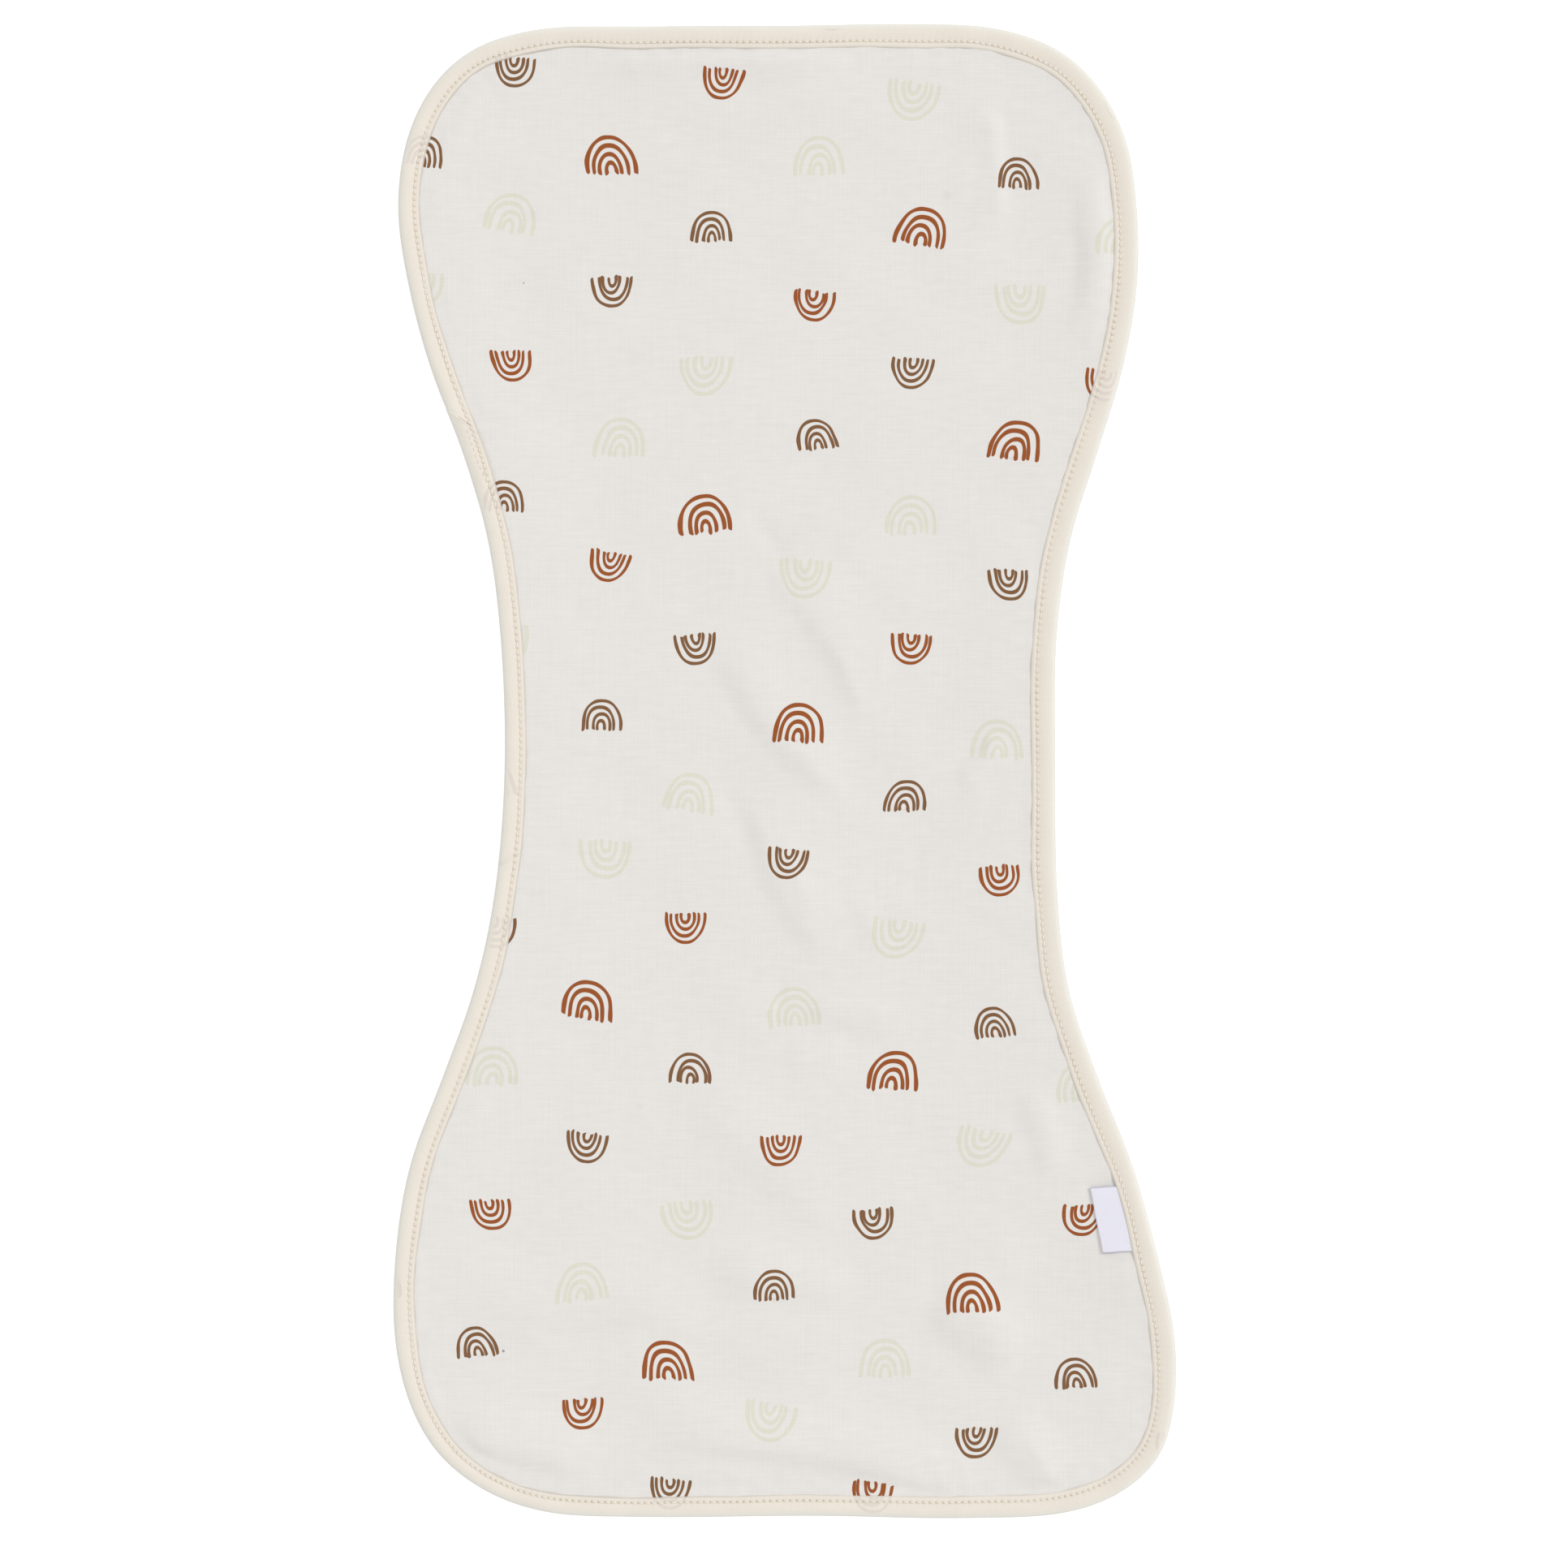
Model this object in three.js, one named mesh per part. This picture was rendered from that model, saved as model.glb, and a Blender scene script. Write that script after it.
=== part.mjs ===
import * as THREE from 'three';

// A burp cloth lying face up: a waisted body of printed knit, one folded strip that binds its edge
// all round, and a blank loop label caught under the binding. Millimetres, Z up. X runs across the
// cloth and Y along it, and the origin lies on the surface under the middle of the cloth. In the
// tables "across" is measured from the middle line and "up" from the lower end.

const sheetThickness = 2.0;
const bindingWidth = 7.2; // from the outer edge to the strip's inner edge
const bindingWall = 0.9;
const clearance = 0.3; // between neighbouring pieces
const slotDepth = bindingWidth - 1.4; // how far the body reaches into the strip
const slotHeight = sheetThickness + 2 * clearance;
const rimRise = bindingWall + clearance; // the body rises this much to enter the strip
const slotMouth = bindingWidth + 0.7; // distance from the outer edge where the body leaves the strip
const foldsFull = 12.5; // where its folds have their full height
const riseEnd = 20; // and where it is down on the surface again
const labelSheet = 0.4;
const labelThickness = 2 * labelSheet + clearance;
const lapGrowth = 0.7; // the lapped end of the strip stands this proud of the strip below it

// The edge on both sides, a row for each height.
const sides = [
  { up: 9, left: 101.7, right: 114.3 },
  { up: 21, left: 117.5, right: 127.0 },
  { up: 37, left: 127.3, right: 131.9 },
  { up: 60, left: 133.0, right: 132.4 },
  { up: 90, left: 132.9, right: 126.2 },
  { up: 120, left: 128.0, right: 118.0 },
  { up: 150, left: 116.9, right: 106.2 },
  { up: 180, left: 106.2, right: 96.2 },
  { up: 212, left: 99.3, right: 92.4 },
  { up: 255, left: 95.8, right: 91.7 },
  { up: 300, left: 97.2, right: 92.1 },
  { up: 333, left: 101.5, right: 96.8 },
  { up: 362, left: 109.7, right: 105.8 },
  { up: 392, left: 121.2, right: 114.8 },
  { up: 420, left: 128.6, right: 119.5 },
  { up: 446, left: 132.1, right: 119.4 },
  { up: 470, left: 128.8, right: 115.4 },
  { up: 488, left: 119.8, right: 105.6 },
  { up: 500, left: 106.2, right: 92.0 },
];

// The edge along the two ends, from left to right.
const lowerEnd = [
  { across: -82, up: 2.2 },
  { across: -50, up: 0.5 },
  { across: 10, up: 0.9 },
  { across: 60, up: 0.1 },
  { across: 96, up: 2.1 },
];
const upperEnd = [
  { across: -84, up: 506.7 },
  { across: -50, up: 507.4 },
  { across: 0, up: 507.6 },
  { across: 45, up: 508.4 },
  { across: 71, up: 507.0 },
];

// The folds, as soft ridges. A crest runs from one place past a bend to another, and its sides fall
// over these widths on the right hand and on the left hand of that way.
const folds = [
  { from: [-8, 329], bend: [16, 307], to: [30, 268], height: 1.5, rightSide: 9, leftSide: 20 },
  { from: [-28, 307], bend: [-4, 256], to: [24, 248], height: 1.7, rightSide: 9, leftSide: 18 },
  { from: [-10, 252], bend: [-5, 208], to: [19, 191], height: 1.6, rightSide: 9, leftSide: 22 },
  { from: [42, 167], bend: [24, 171], to: [4, 173], height: 1.0, rightSide: 12, leftSide: 8 },
  { from: [-36, 147], bend: [-8, 126], to: [20, 98], height: 1.3, rightSide: 11, leftSide: 20 },
  { from: [26, 77], bend: [0, 82], to: [-28, 82], height: 1.3, rightSide: 16, leftSide: 9 },
  { from: [50, 77], bend: [64, 67], to: [83, 52], height: 2.5, rightSide: 14, leftSide: 16 },
  { from: [68, 8], bend: [0, 31], to: [-52, 25], height: 2.0, rightSide: 20, leftSide: 8 },
  { from: [-62, 16], bend: [-90, 26], to: [-116, 27], height: 1.6, rightSide: 18, leftSide: 8 },
  { from: [-22, 70], bend: [-65, 76], to: [-115, 70], height: 1.2, rightSide: 20, leftSide: 14 },
  { from: [72, 36], bend: [82, 24], to: [93, 8], height: 1.2, rightSide: 11, leftSide: 14 },
  { from: [66, 486], bend: [72, 464], to: [70, 432], height: 1.1, rightSide: 14, leftSide: 7 },
  { from: [103, 462], bend: [107, 434], to: [101, 396], height: 1.8, rightSide: 9, leftSide: 16 },
  { from: [34, 496], bend: [-14, 500], to: [-74, 497], height: 1.2, rightSide: 8, leftSide: 12 },
  { from: [76, 264], bend: [66, 257], to: [57, 249], height: 1.0, rightSide: 8, leftSide: 9 },
  { from: [81, 150], bend: [89, 132], to: [93, 112], height: 1.1, rightSide: 9, leftSide: 9 },
];

// Where the whole edge stands off the surface, over this reach.
const edgeLifts = [
  { across: -15, up: 506, reach: 70, height: 1.6 },
  { across: -108, up: 362, reach: 60, height: 1.1 },
  { across: 127, up: 86, reach: 45, height: 1.8 },
];

// The strip's section: distance in from the outer edge and height. The lapped end grows outwards
// by these shares of lapGrowth, and the rows over the label are lifted by its thickness.
const slotTop = bindingWall + slotHeight;
const slotEnd = bindingWidth - slotDepth;
const bindingSection = [
  { inward: bindingWidth, up: 0, growIn: 0, growUp: -1, overLabel: 0 },
  { inward: 1.2, up: 0, growIn: 0, growUp: -1, overLabel: 0 },
  { inward: 0.2, up: 0.9, growIn: -0.5, growUp: -0.4, overLabel: 0 },
  { inward: 0, up: 2.2, growIn: -0.6, growUp: 0, overLabel: 0.3 },
  { inward: 0.4, up: 3.6, growIn: -0.5, growUp: 0.5, overLabel: 0.7 },
  { inward: 1.6, up: 4.45, growIn: 0, growUp: 1, overLabel: 1 },
  { inward: 3.0, up: 4.6, growIn: 0, growUp: 1, overLabel: 1 },
  { inward: 5.0, up: 4.1, growIn: 0, growUp: 1, overLabel: 1 },
  { inward: 6.5, up: 4.35, growIn: 0, growUp: 1, overLabel: 1 },
  { inward: bindingWidth, up: 4.0, growIn: 0, growUp: 1, overLabel: 1 },
  { inward: bindingWidth, up: slotTop, growIn: 0, growUp: 0, overLabel: 1 },
  { inward: slotEnd, up: slotTop, growIn: 0, growUp: 0, overLabel: 1 },
  { inward: slotEnd, up: bindingWall, growIn: 0, growUp: 0, overLabel: 0 },
  { inward: bindingWidth, up: bindingWall, growIn: 0, growUp: 0, overLabel: 0 },
];

// The lap of the strip's two ends, from its slanted step: it eases out over the ramp.
const lap = { across: -111, up: 375, step: 0.5, length: 22, ramp: 12, slant: 7 };
// The label from the upper end of its fold, with its long side at this turn in degrees. It is level
// over this share of its width, inside the strip, and droops from there to its fold.
const label = { across: 103.4, up: 112.6, length: 22.4, width: 13.6, turn: -79.1 };
const labelRest = { level: 0.32, droop: 0.55 };
const labelShoulder = { near: 14, far: 25 }; // the strip is lifted between these, from its middle
const labelBreaks = [0.34, 0.66, 1]; // shares of the width where the ribbon may bend

// Mesh steps
const edgeSamples = 1800;
const stepsAcross = 24;
const stepsAlong = 56;
const ringDepths = [slotEnd + clearance, slotMouth, foldsFull, riseEnd];
const gridCorners = [
  { across: -116, up: 20 },
  { across: 125, up: 20 },
  { across: 106, up: 488 },
  { across: -120, up: 488 },
];

const smoothStep = (low, high, value) => {
  const t = THREE.MathUtils.clamp((value - low) / (high - low), 0, 1);
  return t * t * (3 - 2 * t);
};
const cosineBell = (distance, reach) =>
  distance < reach ? 0.5 + 0.5 * Math.cos((Math.PI * distance) / reach) : 0;
const lerp = THREE.MathUtils.lerp;

// The edge as a closed curve through the rows of the tables, sampled at even steps, centred on its
// own box, and eased so that its curvature changes gently.
function sampleEdge() {
  const places = [
    ...lowerEnd.map(({ across, up }) => [across, up]),
    ...sides.map(({ up, right }) => [right, up]),
    ...upperEnd.map(({ across, up }) => [across, up]).reverse(),
    ...sides.map(({ up, left }) => [-left, up]).reverse(),
  ];
  const through = places.map(([across, up]) => new THREE.Vector3(across, up, 0));
  const curve = new THREE.CatmullRomCurve3(through, true, 'centripetal');
  curve.arcLengthDivisions = 4000;
  let points = curve.getSpacedPoints(edgeSamples).slice(0, edgeSamples);
  const easingRounds = 50;
  for (let round = 0; round < easingRounds; round += 1) {
    points = points.map((point, i) => {
      const before = points[(i + edgeSamples - 1) % edgeSamples];
      const after = points[(i + 1) % edgeSamples];
      return before.clone().add(after).multiplyScalar(0.25).addScaledVector(point, 0.5);
    });
  }
  return points;
}

const edge = sampleEdge();
const edgeBox = new THREE.Box3().setFromPoints(edge);
const middle = edgeBox.getCenter(new THREE.Vector3());
edge.forEach((point) => point.sub(middle));
const perimeter = edge.reduce(
  (sum, point, i) => sum + point.distanceTo(edge[(i + 1) % edgeSamples]), 0);

const placeOf = ({ across, up }) => new THREE.Vector2(across - middle.x, up - middle.y);

// A place on the edge, or some way in from it, by its distance along the edge in millimetres.
function edgePlace(along, inward) {
  const position = (((along / perimeter) % 1) + 1) % 1 * edgeSamples;
  const i = Math.floor(position) % edgeSamples;
  const share = position - Math.floor(position);
  const pick = (k) => edge[(i + k + edgeSamples) % edgeSamples];
  const here = pick(0).clone().lerp(pick(1), share);
  const ahead = pick(2).clone().lerp(pick(3), share);
  const behind = pick(-2).clone().lerp(pick(-1), share);
  const tangent = ahead.sub(behind).normalize();
  return new THREE.Vector2(here.x - tangent.y * inward, here.y + tangent.x * inward);
}

function alongNear(place) {
  const target = placeOf(place);
  let nearest = 0;
  edge.forEach((point, i) => {
    const best = edge[nearest];
    if (Math.hypot(point.x - target.x, point.y - target.y)
        < Math.hypot(best.x - target.x, best.y - target.y)) nearest = i;
  });
  return (nearest / edgeSamples) * perimeter;
}

// Height of the folds at a place: each crest is a curve with one bend, and the height falls off as
// a cosine bell of the distance to it and eases out at both ends.
const crests = folds.map((fold) => {
  const [start, bend, end] = [fold.from, fold.bend, fold.to].map(
    ([across, up]) => placeOf({ across, up }));
  return { ...fold, points: new THREE.QuadraticBezierCurve(start, bend, end).getPoints(24) };
});

function foldHeight(x, y) {
  let height = 0;
  for (const { points, height: top, rightSide, leftSide } of crests) {
    let nearest = { distance: Infinity };
    for (let i = 0; i + 1 < points.length; i += 1) {
      const a = points[i];
      const b = points[i + 1];
      const run = new THREE.Vector2().subVectors(b, a);
      const toPlace = new THREE.Vector2(x - a.x, y - a.y);
      const share = THREE.MathUtils.clamp(toPlace.dot(run) / run.lengthSq(), 0, 1);
      const offset = toPlace.clone().addScaledVector(run, -share);
      const distance = offset.length();
      if (distance < nearest.distance) {
        nearest = { distance, rightHand: run.cross(toPlace) < 0, t: (i + share) / (points.length - 1) };
      }
    }
    const reach = nearest.rightHand ? rightSide : leftSide;
    const ends = smoothStep(0, 0.3, nearest.t) * smoothStep(1, 0.7, nearest.t);
    height += top * ends * cosineBell(nearest.distance, reach);
  }
  return height;
}

const edgeLiftHeight = (x, y) => edgeLifts.reduce((sum, lift) => {
  const place = placeOf(lift);
  return sum + lift.height * cosineBell(Math.hypot(x - place.x, y - place.y), lift.reach);
}, 0);

// Height of the body's underside at a place some way in from the edge.
function undersideHeight(x, y, inward) {
  const rise = rimRise * (1 - smoothStep(slotMouth, riseEnd, inward));
  const foldShare = smoothStep(slotMouth, foldsFull, inward);
  return edgeLiftHeight(x, y) + rise + foldShare * foldHeight(x, y);
}

function closedMesh(name, vertices, faces, colour, roughness) {
  const geometry = new THREE.BufferGeometry();
  geometry.setAttribute('position', new THREE.Float32BufferAttribute(vertices.flat(), 3));
  geometry.setIndex(faces.flat());
  geometry.computeVertexNormals();
  const material = new THREE.MeshStandardMaterial({ color: colour, roughness, metalness: 0 });
  const mesh = new THREE.Mesh(geometry, material);
  mesh.name = name;
  return mesh;
}

const quad = (a, b, c, d) => [[a, b, c], [a, c, d]];

// Distances along the edge of the stations that the body and the strip share: each of the four
// stretches between the grid's corners is cut into even steps.
const stretches = [stepsAcross, stepsAlong, stepsAcross, stepsAlong];
const cornerAlong = gridCorners.map(alongNear);
const stations = stretches.flatMap((steps, side) => {
  const from = cornerAlong[side];
  const to = cornerAlong[(side + 1) % 4];
  const span = (to - from + perimeter) % perimeter;
  return Array.from({ length: steps }, (unused, i) => (from + (span * i) / steps) % perimeter);
});

// The body: rings that follow the edge, and inside them a grid blended from the four stretches of
// the last ring (the sum of the two ruled surfaces less the bilinear one). The same layout gives
// the face and the underside, and a rim joins them inside the strip.
function makeBodyPanel() {
  const count = stations.length;
  const rings = ringDepths.map((depth) => stations.map((along) => edgePlace(along, depth)));
  const inner = rings[rings.length - 1];
  const ringIndex = (i, j) => {
    if (j === 0) return i;
    if (i === stepsAcross) return stepsAcross + j;
    if (j === stepsAlong) return 2 * stepsAcross + stepsAlong - i;
    if (i === 0) return (count - j) % count;
    return -1;
  };
  const blended = (i, j) => {
    const u = i / stepsAcross;
    const v = j / stepsAlong;
    const at = (a, b) => inner[ringIndex(a, b)];
    return ['x', 'y'].map((axis) =>
      lerp(at(i, 0)[axis], at(i, stepsAlong)[axis], v)
      + lerp(at(0, j)[axis], at(stepsAcross, j)[axis], u)
      - lerp(
        lerp(at(0, 0)[axis], at(stepsAcross, 0)[axis], u),
        lerp(at(0, stepsAlong)[axis], at(stepsAcross, stepsAlong)[axis], u), v));
  };
  const places = rings.flatMap((ring, r) => ring.map(({ x, y }) => ({ x, y, inward: ringDepths[r] })));
  const gridStart = places.length;
  for (let j = 1; j < stepsAlong; j += 1) {
    for (let i = 1; i < stepsAcross; i += 1) {
      const [x, y] = blended(i, j);
      places.push({ x, y, inward: riseEnd });
    }
  }
  const lowest = places.map(({ x, y, inward }) => undersideHeight(x, y, inward));
  const under = places.map(({ x, y }, k) => [x, y, lowest[k]]);
  const face = places.map(({ x, y }, k) => [x, y, lowest[k] + sheetThickness]);
  const lastRing = (rings.length - 1) * count;
  const gridNode = (i, j) => {
    const onRing = ringIndex(i, j);
    return onRing >= 0 ? lastRing + onRing : gridStart + (j - 1) * (stepsAcross - 1) + i - 1;
  };
  const faceTriangles = [];
  for (let r = 0; r + 1 < rings.length; r += 1) {
    for (let k = 0; k < count; k += 1) {
      const next = (k + 1) % count;
      faceTriangles.push(...quad(r * count + k, r * count + next,
        (r + 1) * count + next, (r + 1) * count + k));
    }
  }
  for (let j = 0; j < stepsAlong; j += 1) {
    for (let i = 0; i < stepsAcross; i += 1) {
      const cell = [gridNode(i, j), gridNode(i + 1, j), gridNode(i + 1, j + 1), gridNode(i, j + 1)];
      const lowerHalf = j < stepsAlong / 2;
      const leftHalf = i < stepsAcross / 2;
      // the cell is cut from the corner that lies nearest to a corner of the whole grid
      const turned = lowerHalf === leftHalf ? cell : [cell[1], cell[2], cell[3], cell[0]];
      faceTriangles.push(...quad(...turned));
    }
  }
  const shift = places.length;
  const underTriangles = faceTriangles.map(([a, b, c]) => [a + shift, c + shift, b + shift]);
  const rimTriangles = stations.flatMap((unused, k) => {
    const next = (k + 1) % count;
    return quad(k, k + shift, next + shift, next);
  });
  return closedMesh('body_panel', [...face, ...under],
    [...faceTriangles, ...underTriangles, ...rimTriangles], '#e6e4df', 0.95);
}

// The stations of the strip: the shared ones, and its own where the lap ends and beside the label.
// At the step of the lap the station is slanted, so that the folded end lies diagonally.
const lapAlong = alongNear(lap);
const labelWay = new THREE.Vector2(1, 0).rotateAround(
  new THREE.Vector2(), THREE.MathUtils.degToRad(label.turn));
const labelInward = new THREE.Vector2(-labelWay.y, labelWay.x); // from its fold towards the strip
const labelAlong = alongNear({
  across: label.across + labelWay.x * label.length / 2 + labelInward.x * label.width,
  up: label.up + labelWay.y * label.length / 2 + labelInward.y * label.width,
});

function stripStations() {
  const round = (distance) => ((distance % perimeter) + perimeter) % perimeter;
  const own = [
    { along: lapAlong - lap.step / 2, growth: 0, slant: lap.slant },
    { along: lapAlong + lap.step / 2, growth: 1, slant: lap.slant },
    { along: lapAlong + lap.length, growth: 1, slant: 0 },
    { along: lapAlong + lap.length + lap.ramp, growth: 0, slant: 0 },
    ...[-labelShoulder.far, -labelShoulder.near, labelShoulder.near, labelShoulder.far].map(
      (offset) => ({ along: labelAlong + offset, growth: 0, slant: 0 })),
  ];
  const room = { slanted: 6, straight: 3.5 };
  const kept = stations.filter((along) => own.every(({ along: other, slant }) => {
    const apart = Math.min(round(along - other), round(other - along));
    return apart > (slant ? room.slanted : room.straight);
  }));
  const onLap = (along) => {
    const past = round(along - lapAlong);
    return past < perimeter / 2 ? 1 - smoothStep(lap.length, lap.length + lap.ramp, past) : 0;
  };
  const all = [...kept.map((along) => ({ along, growth: onLap(along), slant: 0 })), ...own];
  return all.map((station) => ({ ...station, along: round(station.along) }))
    .sort((a, b) => a.along - b.along);
}

function makeBinding() {
  const strip = stripStations();
  const rows = bindingSection.length;
  const labelLift = labelThickness + clearance;
  const vertices = strip.flatMap(({ along, growth, slant }) => {
    const fromLabel = Math.abs(along - labelAlong);
    const lift = labelLift * (1 - smoothStep(labelShoulder.near, labelShoulder.far, fromLabel));
    return bindingSection.map(({ inward, up, growIn, growUp, overLabel }) => {
      const inPlan = inward + growth * growIn * lapGrowth;
      const slanted = along + slant * (inward / bindingWidth - 0.5);
      const { x, y } = edgePlace(slanted, inPlan);
      const z = up + growth * growUp * lapGrowth + lift * overLabel;
      return [x, y, z + edgeLiftHeight(x, y)];
    });
  });
  const faces = strip.flatMap((unused, k) => {
    const next = (k + 1) % strip.length;
    return bindingSection.flatMap((row, r) => {
      const nextRow = (r + 1) % rows;
      return quad(k * rows + r, next * rows + r, next * rows + nextRow, k * rows + nextRow);
    });
  });
  return closedMesh('binding', vertices, faces, '#e8e0d4', 0.9);
}

// The label: one ribbon folded on itself, its fold towards the middle of the cloth and its two ends
// inside the strip. It follows the body down from the strip and stands a little open at the fold.
function makeLabel() {
  const bottom = rimRise + sheetThickness + clearance;
  const foldRadius = labelThickness / 2;
  const breaks = labelBreaks.map((share) => share * label.width);
  const inwards = [...breaks].reverse();
  const outerFold = [270, 210, 180, 150, 90].map((turn) => {
    const angle = THREE.MathUtils.degToRad(turn);
    return [foldRadius * (1 + Math.cos(angle)), foldRadius * (1 + Math.sin(angle))];
  });
  const section = [
    ...inwards.map((across) => [across, 0]),
    ...outerFold,
    ...breaks.map((across) => [across, labelThickness]),
    ...inwards.map((across) => [across, labelThickness - labelSheet]),
    [foldRadius, foldRadius],
    ...breaks.map((across) => [across, labelSheet]),
  ];
  const shape = new THREE.Shape(section.map(([across, up]) => new THREE.Vector2(across, up)));
  const geometry = new THREE.ExtrudeGeometry(shape, {
    depth: label.length, steps: 4, bevelEnabled: false,
  });
  const start = placeOf(label);
  const position = geometry.getAttribute('position');
  for (let k = 0; k < position.count; k += 1) {
    const inward = position.getX(k);
    const up = position.getY(k);
    const down = position.getZ(k);
    const x = start.x + labelWay.x * down + labelInward.x * inward;
    const y = start.y + labelWay.y * down + labelInward.y * inward;
    const levelFrom = (1 - labelRest.level) * label.width;
    const droop = labelRest.droop * smoothStep(levelFrom, 0, inward);
    position.setXYZ(k, x, y, bottom + up - droop + edgeLiftHeight(x, y));
  }
  const material = new THREE.MeshStandardMaterial({ color: '#e6e6f0', roughness: 0.7, metalness: 0 });
  const mesh = new THREE.Mesh(geometry, material);
  mesh.name = 'label';
  return mesh;
}

const burpCloth = new THREE.Group();
burpCloth.add(makeBodyPanel(), makeBinding(), makeLabel());

export default burpCloth;
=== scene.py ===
import math

import bpy
import numpy as np
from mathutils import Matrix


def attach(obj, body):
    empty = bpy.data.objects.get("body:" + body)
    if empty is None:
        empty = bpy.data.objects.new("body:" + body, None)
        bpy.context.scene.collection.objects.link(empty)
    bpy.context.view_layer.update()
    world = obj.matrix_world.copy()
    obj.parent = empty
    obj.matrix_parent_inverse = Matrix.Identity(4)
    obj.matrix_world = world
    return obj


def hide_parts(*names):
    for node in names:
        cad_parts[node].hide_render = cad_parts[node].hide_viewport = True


# A burp cloth lying face up. Sizes are millimetres until a mesh is made. "Across" is measured from the
# middle line and "up" from the lower end, "along" runs round the edge and "inward" away from it.
# A pair of sizes says where a change begins and where it is complete.

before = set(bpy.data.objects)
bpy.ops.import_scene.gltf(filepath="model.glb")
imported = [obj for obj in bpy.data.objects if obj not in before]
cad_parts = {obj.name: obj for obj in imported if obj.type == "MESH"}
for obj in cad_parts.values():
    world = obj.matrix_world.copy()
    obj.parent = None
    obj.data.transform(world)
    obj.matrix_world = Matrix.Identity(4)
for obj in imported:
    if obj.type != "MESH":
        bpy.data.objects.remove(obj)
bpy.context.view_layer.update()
mm = 0.001
print("frame loaded")


# A dictionary whose values are also read as size.width.
class Sizes(dict):
    __getattr__ = dict.__getitem__


def smoothStep(low, high, value):
    t = np.clip((value - low) / (high - low), 0, 1)
    return t * t * (3 - 2 * t)


# 1 at no distance, falling as half a cosine wave to 0 at the reach
def cosineBell(distance, reach):
    share = np.minimum(np.abs(distance) / reach, 1)
    return 0.5 + 0.5 * np.cos(np.pi * share)


def unit(ways):
    return ways / np.linalg.norm(ways, axis=-1, keepdims=True)


# Centripetal spline through knots: a cubic on each span, whose end slopes come from the roots of the
# distances between neighbours. An open one goes on straight past its ends. More columns than the
# first two are carried along with the place.
def splineThrough(knots, steps, closed):
    knots = np.asarray(knots, float)
    if closed:
        before, here, after, beyond = (np.roll(knots, shift, axis=0) for shift in (1, 0, -1, -2))
    else:
        longer = np.vstack([2 * knots[0] - knots[1], knots, 2 * knots[-1] - knots[-2]])
        before, here, after, beyond = (longer[k:len(longer) - 3 + k] for k in range(4))
    gapBefore, gap, gapAfter = (
        np.sqrt(np.linalg.norm((b - a)[:, :2], axis=1))[:, None]
        for a, b in ((before, here), (here, after), (after, beyond)))
    start = (here - before) / gapBefore - (after - before) / (gapBefore + gap) + (after - here) / gap
    end = (after - here) / gap - (beyond - here) / (gap + gapAfter) + (beyond - after) / gapAfter
    p, q, a, b = (part[:, None, :] for part in (here, after, start * gap, end * gap))
    t = (np.arange(steps) / steps)[None, :, None]
    curve = p + a * t + (3 * (q - p) - 2 * a - b) * t**2 + (2 * (p - q) + a + b) * t**3
    curve = curve.reshape(-1, knots.shape[1])
    return curve if closed else np.vstack([curve, knots[-1:]])


edgeSizes = Sizes(
    sides=[  # up, left, right
        (9, 101.7, 114.3), (21, 117.5, 127), (37, 127.3, 131.9), (60, 133, 132.4), (90, 132.9, 126.2),
        (120, 128, 118), (150, 116.9, 106.2), (180, 106.2, 96.2), (212, 99.3, 92.4), (255, 95.8, 91.7),
        (300, 97.2, 92.1), (333, 101.5, 96.8), (362, 109.7, 105.8), (392, 121.2, 114.8),
        (420, 128.6, 119.5), (446, 132.1, 119.4), (470, 128.8, 115.4), (488, 119.8, 105.6),
        (500, 106.2, 92),
    ],
    lowerEnd=[(-82, 2.2), (-50, 0.5), (10, 0.9), (60, 0.1), (96, 2.1)],  # across, up
    upperEnd=[(-84, 506.7), (-50, 507.4), (0, 507.6), (45, 508.4), (71, 507)],
    samples=1800, easingRounds=50, halfChord=1.5, knotSteps=100,
    lifts=[  # across, up, reach, height: where the whole edge stands off the surface
        (-15, 506, 70, 1.6), (-108, 362, 60, 1.1), (127, 86, 45, 1.8),
    ],
)


# The edge runs from the lower end up the right side. It is cut into even steps and eased by
# averaging each place with its two neighbours.
def sampleEdge():
    size = edgeSizes
    right = [(right, up) for up, left, right in size.sides]
    left = [(-left, up) for up, left, right in size.sides]
    knots = size.lowerEnd + right + size.upperEnd[::-1] + left[::-1]
    curve = splineThrough(knots, size.knotSteps, closed=True)
    closed = np.vstack([curve, curve[:1]])
    distance = np.concatenate([[0], np.cumsum(np.linalg.norm(np.diff(closed, axis=0), axis=1))])
    even = distance[-1] * np.arange(size.samples) / size.samples
    points = np.stack([np.interp(even, distance, closed[:, k]) for k in (0, 1)], axis=1)
    for _ in range(size.easingRounds):
        points = (np.roll(points, 1, axis=0) + 2 * points + np.roll(points, -1, axis=0)) / 4
    return points


edge = sampleEdge()
middle = (edge.min(axis=0) + edge.max(axis=0)) / 2
edge = edge - middle
perimeter = np.linalg.norm(edge - np.roll(edge, -1, axis=0), axis=1).sum()


def edgeAt(along):
    count = len(edge)
    position = np.asarray(along) / perimeter * count
    parts = [np.interp(position, np.arange(count), edge[:, k], period=count) for k in (0, 1)]
    return np.stack(parts, axis=-1)


# A place on the edge moved inward, square to the chord through the places a little before and after.
def edgePlace(along, inward):
    half = edgeSizes.halfChord
    chord = unit(edgeAt(along + half) - edgeAt(along - half))
    square = np.stack([-chord[..., 1], chord[..., 0]], axis=-1)
    return edgeAt(along) + square * np.asarray(inward)[..., None]


def alongNear(place):
    distance = np.linalg.norm(edge - (np.array(place) - middle), axis=1)
    return distance.argmin() / len(edge) * perimeter


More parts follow.
